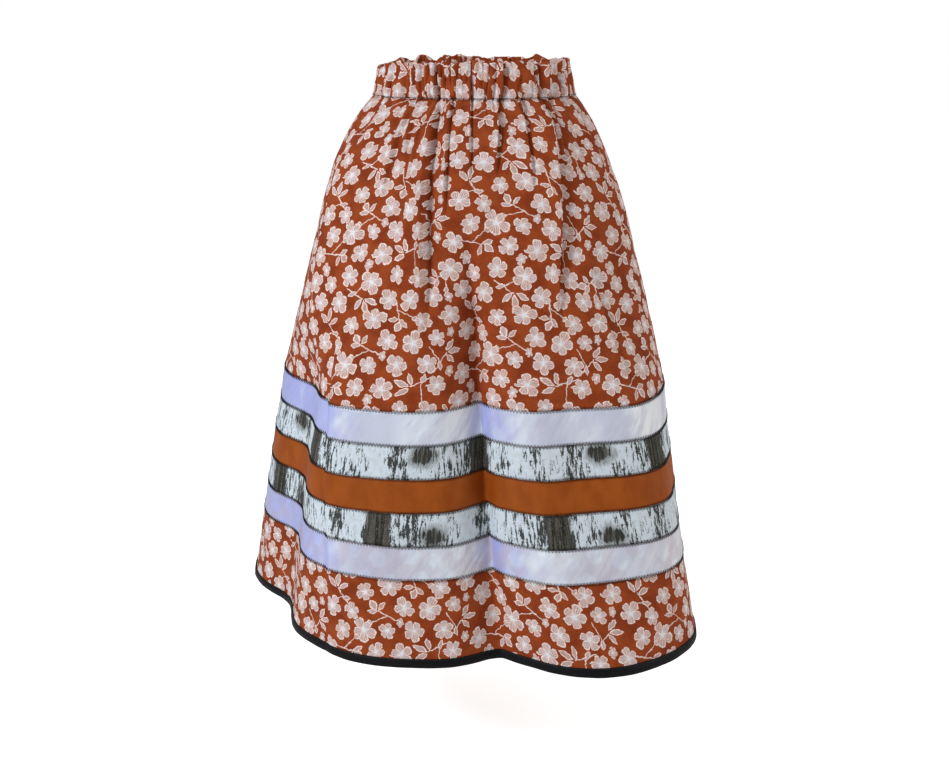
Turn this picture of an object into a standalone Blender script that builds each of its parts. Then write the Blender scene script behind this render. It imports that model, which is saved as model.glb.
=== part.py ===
"""Ribbon skirt: an A-line cotton skirt gathered on an elastic waist, with five ribbons round it and a bound hem.

Units are metres, +Z is up and the wearer faces -Y. The origin is the middle of the waist casing, where the
wearer's waist holds the skirt. The skirt keeps the hollow form that it has when it is worn.
"""

from collections import namedtuple
from math import cos, exp, radians, sin

import bpy
from mathutils import Vector

# --- driving dimensions -------------------------------------------------------------------------------

CASING_TOP = 0.030  # half of the casing's height, above and below the origin
CASING_FOOT = -0.030
RIBBON_TOP = -0.470  # where the first ribbon starts
RIBBON_DROP = 0.0495  # height taken by one 50.8 mm ribbon, which lies on sloping cloth
RIBBONS = 5
HEM = -0.846

PANEL_WALL = 0.0013
RIBBON_WALL = 0.0010
BINDING_WALL = 0.0010
CASING_WALL = 0.0030  # two layers of cotton with the elastic between them
BINDING_RISE = 0.0124  # height taken by the half-inch face of a double-fold tape, on sloping cloth

GAP = 0.0003  # between pieces that touch on the real skirt

COLUMNS = 80  # points round the skirt; half of them on each panel
HIP_HEIGHTS = (CASING_FOOT, -0.060, -0.110, -0.185, -0.285, -0.380)
CASING_HEIGHTS = (CASING_TOP, CASING_FOOT + GAP)

# --- the form ---------------------------------------------------------------------------------------------

# The outline of the cloth seen from above, at each height. left, right, front and back are its reach from the
# waist's axis along -X, +X, -Y and +Y; squareness is 2 on an ellipse, and more on a boxier outline.
Section = namedtuple("Section", "name height left right front back squareness")
SECTIONS = (
    Section("casing top", CASING_TOP, 0.152, 0.150, 0.104, 0.100, 2.0),
    Section("casing foot", CASING_FOOT, 0.162, 0.163, 0.109, 0.105, 2.0),
    Section("gathers", -0.058, 0.184, 0.182, 0.131, 0.126, 2.0),
    Section("high hip", -0.100, 0.210, 0.204, 0.156, 0.148, 2.1),
    Section("hip", -0.160, 0.234, 0.229, 0.184, 0.170, 2.2),
    Section("low hip", -0.240, 0.254, 0.251, 0.213, 0.190, 2.35),
    Section("thigh", -0.320, 0.275, 0.273, 0.238, 0.202, 2.5),
    Section("mid thigh", -0.400, 0.297, 0.292, 0.259, 0.209, 2.65),
    Section("first ribbon", RIBBON_TOP, 0.316, 0.305, 0.279, 0.214, 2.75),
    Section("hem", HEM, 0.388, 0.344, 0.350, 0.236, 2.8),
)

# The pleats at the waist and the large folds below. Each runs down from head to foot, is at its depth from the
# height full, and ends with end_depth. A negative depth stands out. Bearings are degrees from the front, + to
# the wearer's left (+X); half_width is the bearing from the bottom of the fold to where it is nearly flat.
Fold = namedtuple("Fold", "name head full foot depth end_depth bearing end_bearing half_width")
FOLDS = (
    Fold("waist pleat, far right", CASING_TOP, 0.0, -0.20, 0.005, 0.0, -74, -66, 8),
    Fold("waist pleat, right", CASING_TOP, 0.0, -0.26, 0.006, 0.0, -53, -42, 7),
    Fold("waist pleat, front right", CASING_TOP, -0.02, -0.34, 0.009, 0.0, -34, -17, 7),
    Fold("waist pleat, centre", CASING_TOP, 0.0, -0.27, 0.004, 0.0, -4, -2, 6),
    Fold("waist pleat, front left", CASING_TOP, 0.0, -0.22, 0.005, 0.0, 23, 19, 7),
    Fold("waist pleat, left", CASING_TOP, -0.01, -0.28, 0.008, 0.0, 61, 41, 7),
    Fold("waist pleat, side left", CASING_TOP, 0.0, -0.20, 0.006, 0.0, 82, 74, 7),
    Fold("waist pleat, back left", CASING_TOP, 0.0, -0.24, 0.007, 0.0, 112, 120, 8),
    Fold("waist pleat, centre back left", CASING_TOP, 0.0, -0.30, 0.008, 0.0, 146, 156, 8),
    Fold("waist pleat, centre back", CASING_TOP, 0.0, -0.20, 0.005, 0.0, 176, 174, 7),
    Fold("waist pleat, centre back right", CASING_TOP, 0.0, -0.28, 0.008, 0.0, 207, 200, 8),
    Fold("waist pleat, back right", CASING_TOP, 0.0, -0.22, 0.006, 0.0, 247, 238, 8),
    Fold("front trough", -0.240, -0.455, HEM, 0.044, 0.038, -1, 8, 9.5),
    Fold("right trough", -0.330, -0.480, HEM, 0.046, 0.072, -61, -66, 15),
    Fold("right front flat", -0.560, -0.700, HEM, 0.012, 0.028, -43, -44, 13),
    Fold("left front corner", -0.370, -0.540, HEM, -0.032, -0.094, 43, 40, 21),
    Fold("left front flat", -0.370, -0.470, HEM, 0.020, 0.037, 28, 40, 13),
    Fold("back fold, left", -0.340, -0.560, HEM, 0.016, 0.030, 121, 124, 11),
    Fold("back fold, centre left", -0.300, -0.520, HEM, -0.008, -0.018, 150, 152, 12),
    Fold("back fold, centre", -0.260, -0.500, HEM, 0.018, 0.030, 178, 181, 10),
    Fold("back fold, centre right", -0.340, -0.560, HEM, -0.006, -0.014, 209, 207, 11),
    Fold("back fold, right", -0.320, -0.540, HEM, 0.018, 0.032, 236, 234, 11),
)

# --- colours ----------------------------------------------------------------------------------------------

RUST_FLORAL = (0.43, 0.085, 0.018)
SATIN_WHITE = (0.72, 0.71, 0.79)
BIRCH_GREY = (0.45, 0.46, 0.47)
PLAIN_RUST = (0.37, 0.075, 0.016)
TAPE_BLACK = (0.010, 0.010, 0.013)


def between(low, high, share):
    return low + (high - low) * share


def eased(share):
    """0 to 1 with a soft start and end."""
    share = min(max(share, 0.0), 1.0)
    return share * share * (3.0 - 2.0 * share)


def section_at(height):
    """The outline's four reaches and its squareness at a height, between the two rows that hold it."""
    for upper, lower in zip(SECTIONS, SECTIONS[1:]):
        if height >= lower.height:
            share = (upper.height - height) / (upper.height - lower.height)
            return [between(upper[i], lower[i], share) for i in range(2, len(upper))]
    return list(SECTIONS[-1][2:])


def fold_depth(fold, bearing, height):
    """How far one fold takes the cloth in at a bearing and height."""
    if height > fold.head or height < fold.foot:
        return 0.0
    along = (fold.head - height) / (fold.head - fold.foot)
    if height > fold.full:
        depth = fold.depth * eased((fold.head - height) / (fold.head - fold.full))
    else:
        depth = between(fold.depth, fold.end_depth, (fold.full - height) / (fold.full - fold.foot))
    off_centre = bearing - between(fold.bearing, fold.end_bearing, along)
    off_centre = (off_centre + 180.0) % 360.0 - 180.0
    return depth * exp(-((off_centre / fold.half_width) ** 2))


def cloth_point(bearing, height):
    """A point on the cloth's outer face. Bearing is degrees from the front, + towards +X."""
    left, right, front, back, squareness = section_at(height)
    across, ahead = sin(radians(bearing)), cos(radians(bearing))
    side = abs(across) / (right if across > 0 else left)
    face = abs(ahead) / (front if ahead > 0 else back)
    reach = (side**squareness + face**squareness) ** (-1.0 / squareness)
    reach -= sum(fold_depth(fold, bearing, height) for fold in FOLDS)
    return Vector((reach * across, -reach * ahead, height))


def bearings():
    """The columns' bearings, from the wearer's right side seam round the front."""
    return [-90.0 + 360.0 * column / COLUMNS for column in range(COLUMNS)]


def outward(grid, row, column):
    """The direction out of the cloth at a point of a grid of rings."""
    above, below = grid[max(row - 1, 0)], grid[min(row + 1, len(grid) - 1)]
    ahead = grid[row][(column + 1) % COLUMNS] - grid[row][column - 1]
    return ahead.cross(above[column] - below[column]).normalized()


def outward_grid(grid):
    return [[outward(grid, row, column) for column in range(COLUMNS)] for row in range(len(grid))]


def rings(heights):
    return [[cloth_point(bearing, height) for bearing in bearings()] for height in heights]


def ring_between(grid, upper, share):
    """A ring part of the way from one ring of a grid to the next, on the same faces."""
    return [high.lerp(low, share) for high, low in zip(grid[upper], grid[upper + 1])]


def moved_out(ring, directions, distance):
    return [point + way * distance for point, way in zip(ring, directions)]


# --- making solids --------------------------------------------------------------------------------------


def cloth_material(name, colour, roughness):
    material = bpy.data.materials.new(name)
    material.use_nodes = True
    shader = material.node_tree.nodes["Principled BSDF"]
    shader.inputs["Base Color"].default_value = (*colour, 1.0)
    shader.inputs["Roughness"].default_value = roughness
    shader.inputs["Metallic"].default_value = 0.0
    material.diffuse_color = (*colour, 1.0)
    return material


def cloth_piece(name, rows, closed, wall, inwards, material, collection):
    """A wall of cloth lofted through rows of points, each row from the wearer's right round the front.

    A closed piece goes all the way round. The wall grows to the inside of the rows, or to the outside. Every
    quad is split from its high corner on the wearer's right to its low one on the left, so that pieces that
    lie on each other have parallel faces.
    """
    count = len(rows[0])
    faces = []
    for row in range(len(rows) - 1):
        going_down = rows[row][0].z > rows[row + 1][0].z
        for column in range(count if closed else count - 1):
            beside = (column + 1) % count
            this, following = row * count, (row + 1) * count
            a, b, c, d = this + column, following + column, following + beside, this + beside
            faces += [(a, b, c), (a, c, d)] if going_down else [(a, b, d), (b, c, d)]
    mesh = bpy.data.meshes.new(name)
    mesh.from_pydata([point for row in rows for point in row], [], faces)
    mesh.shade_smooth()
    mesh.materials.append(material)
    piece = bpy.data.objects.new(name, mesh)
    collection.objects.link(piece)
    thicken = piece.modifiers.new("cloth thickness", "SOLIDIFY")
    thicken.thickness = wall
    thicken.offset = -1.0 if inwards else 1.0
    return piece


def panel(name, grid, first, material, collection):
    """Half of the skirt, side seam to side seam, each edge half a gap short of the seam."""
    last = first + COLUMNS // 2
    rows = []
    for ring in grid:
        row = [ring[column % COLUMNS].copy() for column in range(first, last + 1)]
        row[0] = row[0] + (row[1] - row[0]).normalized() * (GAP / 2)
        row[-1] = row[-1] + (row[-2] - row[-1]).normalized() * (GAP / 2)
        rows.append(row)
    return cloth_piece(name, rows, False, PANEL_WALL, True, material, collection)


def ribbon(name, grid, directions, upper, material, collection):
    """A ribbon round the whole skirt, lying on the panel between two of its rings."""
    inset = GAP / 2 / RIBBON_DROP
    rows = []
    for share in (inset, 1.0 - inset):
        ring = ring_between(grid, upper, share)
        ways = ring_between(directions, upper, share)
        rows.append(moved_out(ring, ways, GAP))
    return cloth_piece(name, rows, True, RIBBON_WALL, False, material, collection)


def binding(name, grid, directions, material, collection):
    """The tape folded over the hem: down the inside, under the edge and up the outside."""
    top, foot = grid[-2], grid[-1]
    top_ways, foot_ways = directions[-2], directions[-1]
    inside = -(PANEL_WALL + GAP)
    under = Vector((0.0, 0.0, -GAP))
    rows = [
        moved_out(top, top_ways, GAP),
        [point + under for point in moved_out(foot, foot_ways, GAP)],
        [point + under for point in moved_out(foot, foot_ways, inside)],
        moved_out(top, top_ways, inside),
    ]
    return cloth_piece(name, rows, True, BINDING_WALL, False, material, collection)


def build():
    for old in list(bpy.data.objects):
        bpy.data.objects.remove(old, do_unlink=True)
    skirt = bpy.data.collections.new("ribbon_skirt")
    bpy.context.scene.collection.children.link(skirt)

    floral = cloth_material("floral cotton", RUST_FLORAL, 0.85)
    satin = cloth_material("white satin", SATIN_WHITE, 0.35)
    birch = cloth_material("birch print cotton", BIRCH_GREY, 0.85)
    rust = cloth_material("rust sateen", PLAIN_RUST, 0.6)
    tape = cloth_material("black bias tape", TAPE_BLACK, 0.6)

    ribbon_heights = [RIBBON_TOP - RIBBON_DROP * edge for edge in range(RIBBONS + 1)]
    heights = [*HIP_HEIGHTS, *ribbon_heights, HEM + BINDING_RISE, HEM]
    grid = rings(heights)
    directions = outward_grid(grid)

    panel("panel_front", grid, 0, floral, skirt)
    panel("panel_back", grid, COLUMNS // 2, floral, skirt)

    ribbon_kinds = (("satin", satin), ("birch", birch), ("rust", rust), ("birch", birch), ("satin", satin))
    for number, (kind, material) in enumerate(ribbon_kinds):
        upper = len(HIP_HEIGHTS) + number
        ribbon(f"ribbon_{number + 1}_{kind}", grid, directions, upper, material, skirt)

    binding("hem_binding", grid, directions, tape, skirt)
    cloth_piece("waist_casing", rings(CASING_HEIGHTS), True, CASING_WALL, True, floral, skirt)


build()
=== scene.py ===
"""The looks of a ribbon skirt: floral cotton gathered on an elastic waist, five ribbons and a bound hem.

Metres, +Z up, the wearer faces -Y, and the origin is the middle of the waist casing.
"""

from collections import namedtuple
from math import cos, hypot, pi, radians, sin

import bpy
import numpy as np
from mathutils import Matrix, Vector, noise
from mathutils.bvhtree import BVHTree


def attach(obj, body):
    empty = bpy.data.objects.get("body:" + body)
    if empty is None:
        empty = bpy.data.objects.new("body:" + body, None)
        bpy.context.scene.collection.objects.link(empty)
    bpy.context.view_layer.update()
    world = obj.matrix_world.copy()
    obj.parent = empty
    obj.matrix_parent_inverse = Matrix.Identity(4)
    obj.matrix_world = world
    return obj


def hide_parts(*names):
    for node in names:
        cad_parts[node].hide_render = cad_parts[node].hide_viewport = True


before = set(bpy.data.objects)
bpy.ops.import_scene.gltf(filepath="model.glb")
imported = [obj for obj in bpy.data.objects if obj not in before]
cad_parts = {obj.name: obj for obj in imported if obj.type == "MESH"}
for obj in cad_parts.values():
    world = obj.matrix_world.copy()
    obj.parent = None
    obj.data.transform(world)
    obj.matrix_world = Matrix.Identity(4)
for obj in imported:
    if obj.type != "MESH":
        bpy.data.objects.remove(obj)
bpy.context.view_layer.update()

scene = bpy.context.scene

# --- camera, light and floor ------------------------------------------------------------------------------
# The skirt is seen from the front and a little above, in a white studio with a cool light in front, on the
# wearer's right, a weaker and warmer one on their left and another behind.

CAMERA_BACK = 2.12
CAMERA_HEIGHT = 0.1107
CAMERA_PITCH = 16.0
FLOOR_HEIGHT = -1.07
FLOOR_GLOW = 0.72
SKY_LIGHT = 0.30

view = bpy.data.cameras.new("view")
view.lens = 49.9
view.sensor_width = 36.0
camera = bpy.data.objects.new("camera", view)
camera.location = (0.0, -CAMERA_BACK, CAMERA_HEIGHT)
camera.rotation_euler = (radians(90.0 - CAMERA_PITCH), 0.0, 0.0)
scene.collection.objects.link(camera)
scene.camera = camera
scene.view_settings.view_transform = "Standard"

Lamp = namedtuple("Lamp", "name place aim size power colour")
LAMPS = (
    Lamp("key", (-2.2, -1.9, 1.3), (0.0, 0.0, -0.45), 0.7, 66.0, (0.94, 0.96, 1.0)),
    Lamp("warm fill", (2.8, -0.7, 0.6), (0.0, 0.0, -0.45), 1.4, 27.0, (1.0, 0.95, 0.90)),
    Lamp("back", (0.6, 2.6, 1.4), (0.0, 0.0, -0.4), 1.6, 26.0, (1.0, 0.98, 0.95)),
)
for lamp in LAMPS:
    light = bpy.data.lights.new(lamp.name, "AREA")
    light.size = lamp.size
    light.energy = lamp.power
    light.color = lamp.colour
    holder = bpy.data.objects.new(lamp.name, light)
    holder.location = lamp.place
    holder.rotation_euler = (Vector(lamp.aim) - Vector(lamp.place)).to_track_quat("-Z", "Y").to_euler()
    scene.collection.objects.link(holder)

sky = bpy.data.worlds.new("studio white")
scene.world = sky
sky.use_nodes = True
seen = sky.node_tree.nodes.new("ShaderNodeLightPath")
share = sky.node_tree.nodes.new("ShaderNodeMapRange")
share.inputs["To Min"].default_value = SKY_LIGHT
share.inputs["To Max"].default_value = 1.0
sky.node_tree.links.new(seen.outputs["Is Camera Ray"], share.inputs["Value"])
sky.node_tree.nodes["Background"].inputs["Color"].default_value = (1.0, 1.0, 1.0, 1.0)
sky.node_tree.links.new(share.outputs["Result"], sky.node_tree.nodes["Background"].inputs["Strength"])

bpy.ops.object.select_all(action="DESELECT")
bpy.ops.mesh.primitive_plane_add(size=1600.0, location=(0.0, 0.0, FLOOR_HEIGHT))
floor = bpy.context.object
floor.name = "studio_floor"
paint = bpy.data.materials.new("white floor")
paint.use_nodes = True
painted = paint.node_tree.nodes["Principled BSDF"]
painted.inputs["Base Color"].default_value = (0.93, 0.93, 0.93, 1.0)
painted.inputs["Roughness"].default_value = 0.9
painted.inputs["Emission Color"].default_value = (1.0, 1.0, 1.0, 1.0)
glow = paint.node_tree.nodes.new("ShaderNodeMapRange")
glow.inputs["To Max"].default_value = FLOOR_GLOW
seen = paint.node_tree.nodes.new("ShaderNodeLightPath")
paint.node_tree.links.new(seen.outputs["Is Camera Ray"], glow.inputs["Value"])
paint.node_tree.links.new(glow.outputs["Result"], painted.inputs["Emission Strength"])
floor.data.materials.append(paint)

# --- how the cloth hangs ----------------------------------------------------------------------------------
# All the pieces lie on one surface: the outer face of the solids, read at their rings, and on it the gathers
# that the elastic draws up, the pleats that run down from them and the creases of the worn skirt.

CASING_TOP = 0.030
CASING_FOOT = -0.030
RIBBON_TOP = -0.470
RIBBON_DROP = 0.0495
HEM = -0.846
BINDING_RISE = 0.0124
SOLID_COLUMNS = 80
SOLID_HEIGHTS = [-0.030, -0.060, -0.110, -0.185, -0.285, -0.380]
SOLID_HEIGHTS += [RIBBON_TOP - RIBBON_DROP * edge for edge in range(6)] + [HEM + BINDING_RISE, HEM]


def outline_at(tree, heights):
    """The reach from the axis to the first face met from outside, a row for each height."""
    table = []
    for height in heights:
        row = []
        for column in range(SOLID_COLUMNS):
            bearing = radians(-90.0 + 360.0 * column / SOLID_COLUMNS + 0.15)
            way = Vector((sin(bearing), -cos(bearing), 0.0))
            hit = tree.ray_cast(way + Vector((0.0, 0.0, height)), -way)[0]
            row.append(hypot(hit.x, hit.y))
        table.append(row)
    return np.array(table)


def tree_of(*nodes):
    points, faces = [], []
    for node in nodes:
        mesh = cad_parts[node].data
        first = len(points)
        points += [vertex.co.copy() for vertex in mesh.vertices]
        faces += [[first + corner for corner in face.vertices] for face in mesh.polygons]
    return BVHTree.FromPolygons(points, faces)


def run_through(knots, values, places):
    """A smooth curve through values at knots, along the last axis, read at places."""
    knots, places = np.asarray(knots, float), np.asarray(places, float)
    slopes = np.gradient(values, knots, axis=-1)
    left = np.clip(np.searchsorted(knots, places) - 1, 0, len(knots) - 2)
    step = knots[left + 1] - knots[left]
    t = np.clip((places - knots[left]) / step, 0.0, 1.0)
    start, end = values[..., left], values[..., left + 1]
    start_slope, end_slope = slopes[..., left] * step, slopes[..., left + 1] * step
    return (
        start * (2 * t**3 - 3 * t**2 + 1)
        + start_slope * (t**3 - 2 * t**2 + t)
        + end * (3 * t**2 - 2 * t**3)
        + end_slope * (t**3 - t**2)
    )


panel_tree = tree_of("panel_front", "panel_back")
casing_tree = tree_of("waist_casing")
just_inside = [height - 0.0003 for height in SOLID_HEIGHTS[:-1]] + [HEM + 0.0003]
casing_reaches = outline_at(casing_tree, [CASING_TOP - 0.0003, 0.0])
reaches = np.vstack([casing_reaches, outline_at(panel_tree, just_inside)])
ring_heights = np.array([CASING_TOP, 0.0] + SOLID_HEIGHTS)

# Each crease runs down from head to foot, fading in over its first part and out over its last. Depth is in
# mm, and a negative one stands out. Bearings are degrees from the front, + to the wearer's left, and width is
# the bearing from the middle to where it is nearly flat. A lap of 1 is a pleat whose near side lies over it:
# it falls away sharply at its bearing and comes back over its width; -1 is the same, turned about, and a lap
# nearer to 0 falls away more gently. A lap of 0 is a trough or a ridge that is alike on both sides. What
# starts at the waist hangs straight down, so its bearing changes fastest there, where the skirt flares most.
Crease = namedtuple("Crease", "head foot depth bearing end_bearing width lap")
CREASES = [Crease(*row) for row in (
    # gathers of the casing, front
    (0.034, -0.04, 6.1, -85, -85, 1.5, 0),
    (0.034, -0.045, 8.1, -77, -78, 1.5, 1),
    (0.034, -0.02, 6.8, -71, -73, 1.4, 0),
    (0.034, -0.05, 9.5, -65, -68, 1.6, 1),
    (0.03, -0.012, 6.8, -60, -62, 1.4, 0),
    (0.034, -0.05, 9.5, -54, -57, 1.5, 0),
    (0.026, -0.036, 6.8, -48, -50, 1.4, 0),
    (0.034, -0.05, 11.5, -43, -43, 1.5, 0),
    (0.034, -0.015, 6.1, -39, -38, 1.2, 0),
    (0.034, -0.05, 16.0, -33, -33, 1.6, 1),
    (0.034, 0.002, 5.7, -28, -28, 1.4, 0),
    (0.012, -0.04, 5.4, -24, -25, 1.7, 0),
    (0.034, -0.01, 7.4, -20, -19, 1.3, -1),
    (0.02, -0.05, 4.3, -13, -14, 2.0, 0),
    (0.034, -0.05, 8.8, -3.2, -3.4, 1.4, 1),
    (0.034, 0.008, 3.8, 7, 8, 1.9, 0),
    (0.034, -0.048, 16.0, 22.6, 22.9, 1.9, 1),
    (0.034, -0.004, 4.6, 28, 27, 1.5, 0),
    (0.01, -0.05, 3.2, 38, 37, 2.2, 0),
    (0.034, -0.01, 6.1, 48, 48, 1.5, 0),
    (0.034, -0.048, 7.6, 54, 53, 1.4, 0),
    (0.034, -0.05, 15.2, 59, 58, 1.7, 1),
    (0.034, -0.02, 6.8, 65, 66, 1.4, 0),
    (0.034, -0.05, 8.9, 70, 69, 1.5, -1),
    (0.034, -0.045, 7.0, 77, 77, 1.4, 0),
    (0.034, -0.05, 8.1, 84, 83, 1.6, 0),
    # gathers of the casing, back
    (0.034, -0.06, 4.8, 91, 90, 1.8, 0),
    (0.034, -0.03, 3.8, 98, 98, 1.5, 0),
    (0.034, -0.09, 7.0, 105, 104, 2.0, 1),
    (0.034, -0.015, 3.5, 111, 112, 1.6, 0),
    (0.034, -0.075, 6.1, 118, 119, 1.8, 0),
    (0.034, -0.04, 4.2, 126, 126, 1.7, -1),
    (0.034, -0.11, 8.0, 133, 135, 2.0, 0),
    (0.034, -0.01, 3.2, 140, 140, 1.8, 0),
    (0.034, -0.08, 5.8, 147, 149, 1.9, 1),
    (0.034, -0.03, 3.5, 154, 154, 1.8, 0),
    (0.034, -0.12, 7.7, 163, 162, 2.0, 0),
    (0.034, -0.02, 3.2, 170, 170, 1.6, 0),
    (0.034, -0.07, 5.4, 178, 178, 1.9, -1),
    (0.034, -0.045, 4.2, 186, 186, 1.8, 0),
    (0.034, -0.1, 8.0, 194, 193, 2.0, 1),
    (0.034, -0.015, 3.5, 201, 201, 1.7, 0),
    (0.034, -0.085, 6.4, 209, 208, 1.9, 0),
    (0.034, -0.035, 3.8, 216, 216, 1.6, 0),
    (0.034, -0.095, 7.4, 224, 223, 2.0, -1),
    (0.034, -0.02, 3.5, 231, 231, 1.7, 0),
    (0.034, -0.07, 5.8, 238, 239, 1.8, 0),
    (0.034, -0.045, 4.5, 245, 245, 1.7, 0),
    (0.034, -0.085, 6.7, 253, 254, 1.9, 1),
    (0.034, -0.04, 4.2, 260, 261, 1.6, 0),
    # short gathers let go just under the stitching, front
    (-0.02, -0.11, 6.5, -80, -70, 2.6, 0),
    (-0.022, -0.13, 7.8, -68, -52, 2.4, -1),
    (-0.02, -0.1, 6.5, -60, -47, 2.0, 0),
    (-0.022, -0.12, 7.8, -51, -36, 2.4, 1),
    (-0.02, -0.15, 10.4, -43, -28, 2.2, 0),
    (-0.022, -0.09, 5.7, -38, -28, 1.8, 0),
    (-0.02, -0.08, 5.2, -27, -21, 1.8, 0),
    (-0.022, -0.1, 5.7, -19, -13, 2.2, 0),
    (-0.02, -0.08, 3.9, -10, -7, 2.4, 0),
    (-0.018, -0.17, 6.5, -3.4, -2, 2.4, 1),
    (-0.022, -0.09, 3.6, 6, 4, 2.6, 0),
    (-0.018, -0.15, 11.7, 22.9, 11, 3.6, 1),
    (-0.022, -0.09, 5.2, 30, 22, 2.0, 0),
    (-0.02, -0.11, 5.7, 46, 30, 2.2, 0),
    (-0.022, -0.13, 6.8, 66, 47, 2.2, 1),
    (-0.02, -0.15, 7.3, 75, 57, 2.4, 0),
    (-0.022, -0.11, 6.5, 84, 70, 2.4, 0),
    # the pleats that run down the front, and the rolls of cloth beside them
    (-0.02, -0.4, 20.0, -33, -16.5, 7.0, 1),
    (-0.04, -0.33, -9.1, -34, -25, 5.0, 0),
    (-0.02, -0.38, 19.0, 59, 27, 6.5, 1),
    (-0.03, -0.3, -9.1, 60, 43, 5.0, 0),
    (-0.02, -0.26, 7.8, -44, -27, 4.4, -1),
    (-0.03, -0.3, 6.5, -66, -44, 4.6, 0),
    (-0.03, -0.46, 13.0, 77, 60, 6.0, 1),
    (-0.06, -0.42, 10.0, -76, -62, 6.0, -1),
    (-0.02, -0.2, 10.4, -51, -41, 3.0, 1),
    (-0.02, -0.23, 9.1, -21, -13, 3.0, 1),
    (-0.02, -0.18, 7.8, 40, 27, 3.0, 1),
    (-0.13, -0.44, 6.5, -31, -29, 4.2, 0),
    (-0.12, -0.4, -5.2, -25, -23, 3.6, 0),
    (-0.2, -0.47, 6.0, -46, -41, 4.2, 0),
    (-0.15, -0.4, 5.2, -58, -52, 4.0, 0),
    (-0.15, -0.38, 6.0, 10, 4, 4.0, 0),
    (-0.23, -0.44, 5.7, 31, 16, 3.6, 0),
    (-0.26, -0.48, 6.5, 44, 48, 3.8, 1),
    (-0.21, -0.42, -4.7, 22, 25, 5.0, 0),
    (-0.1, -0.3, -3.9, 4, 2, 4.0, 0),
    (-0.05, -0.54, 15.0, 3, 3, 12.0, 0),
    # the crease pressed down the centre front, and soft ones across the ribbons
    (-0.19, -1.000, 15.0, -1.2, 11.1, 9.0, -0.2),
    (-0.26, -0.96, 9.0, -0.6, 9.6, 1.4, 0),
    (-0.36, -0.64, 9.0, -47, -41, 6.0, -0.6),
    (-0.6, -0.9, 5.0, -42, -36, 6.0, -0.4),
    (-0.44, -0.86, 2.6, -13, -9, 4.0, 0),
    (-0.42, -0.8, 2.4, -30, -31, 5.0, 0),
    (-0.48, -0.86, -2.9, 20, 18, 4.0, 0),
    (-0.43, -0.74, 2.2, 33, 33, 3.4, 0),
    (-0.56, -0.86, 2.6, 26, 29, 3.8, 0),
    (-0.5, -0.86, 3.6, 58, 57, 4.4, 0),
    (-0.52, -0.86, -4.8, -76, -79, 5.0, 0),
    # the pleats and soft creases of the back
    (-0.02, -0.24, 6.5, 105, 110, 3.6, 1),
    (-0.02, -0.3, 7.8, 134, 140, 4.4, -1),
    (-0.02, -0.2, 6.0, 163, 164, 4.0, 1),
    (-0.02, -0.28, 7.3, 194, 191, 4.4, -1),
    (-0.02, -0.24, 6.5, 224, 218, 4.0, 1),
    (-0.03, -0.22, 5.2, 254, 247, 3.6, -1),
    (-0.12, -0.42, 3.9, 120, 126, 4.6, 0),
    (-0.16, -0.46, -3.4, 148, 150, 5.0, 0),
    (-0.14, -0.4, 3.6, 176, 175, 4.4, 0),
    (-0.2, -0.52, 3.9, 203, 200, 4.6, 0),
    (-0.15, -0.43, 3.4, 232, 229, 4.2, 0),
    (-0.3, -0.76, 3.4, 108, 110, 5.0, 0),
    (-0.4, -0.86, 3.1, 166, 168, 4.6, 0),
    (-0.38, -0.86, 2.9, 194, 196, 4.6, 0),
    (-0.42, -0.86, 3.4, 250, 252, 5.0, 0),
    (-0.3, -0.7, -3.1, 262, 263, 4.6, 0),
)]
STITCH_NIP = 0.0016  # how far the casing's stitching pulls the cloth in
RUCHE = 0.0050  # the small gathers between the main ones, which let go below the casing
RUCHES = 10.0  # how close together they are
SLIT_REACH = 0.26  # how wide each slit between them is, as a share of the noise that places it
SLIT_SHARPNESS = 1.4
SEAM_DIP = 0.0012
DRAPE_WAVE = 0.0016  # the small unevenness of hanging cotton


def all_round(count):
    """Bearings all the way round, from the seam on the wearer's right."""
    return -90.0 + 360.0 * np.arange(count) / count


def eased(share):
    share = np.clip(share, 0.0, 1.0)
    return share * share * (3.0 - 2.0 * share)


def crease_depth(crease, bearings, heights):
    """How far one crease takes the cloth in, in metres, on a grid of heights by bearings."""
    along = (crease.head - heights) / (crease.head - crease.foot)
    strength = eased(along / 0.12) * eased((1.0 - along) / 0.45) * (along > 0.0) * (along < 1.0)
    swing = np.clip(along, 0.0, 1.0) ** (0.5 if crease.head > CASING_FOOT - 0.03 else 1.0)
    centre = crease.bearing + (crease.end_bearing - crease.bearing) * swing
    off = (bearings[None, :] - centre[:, None] + 180.0) % 360.0 - 180.0
    if crease.lap:
        off = off if crease.lap > 0 else -off
        fall = eased(off * abs(crease.lap) / 1.1 + 0.5)
        profile = fall * np.exp(-np.maximum(off, 0.0) / crease.width)
        profile -= 0.35 * (1.0 - fall) * np.exp(-((off / crease.width) ** 2))
    else:
        profile = 0.6 * np.exp(-(np.abs(off / crease.width) ** 1.3))
        profile += 0.4 * np.exp(-((off / crease.width / 2.2) ** 2))
    return 0.001 * crease.depth * strength[:, None] * profile


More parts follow.
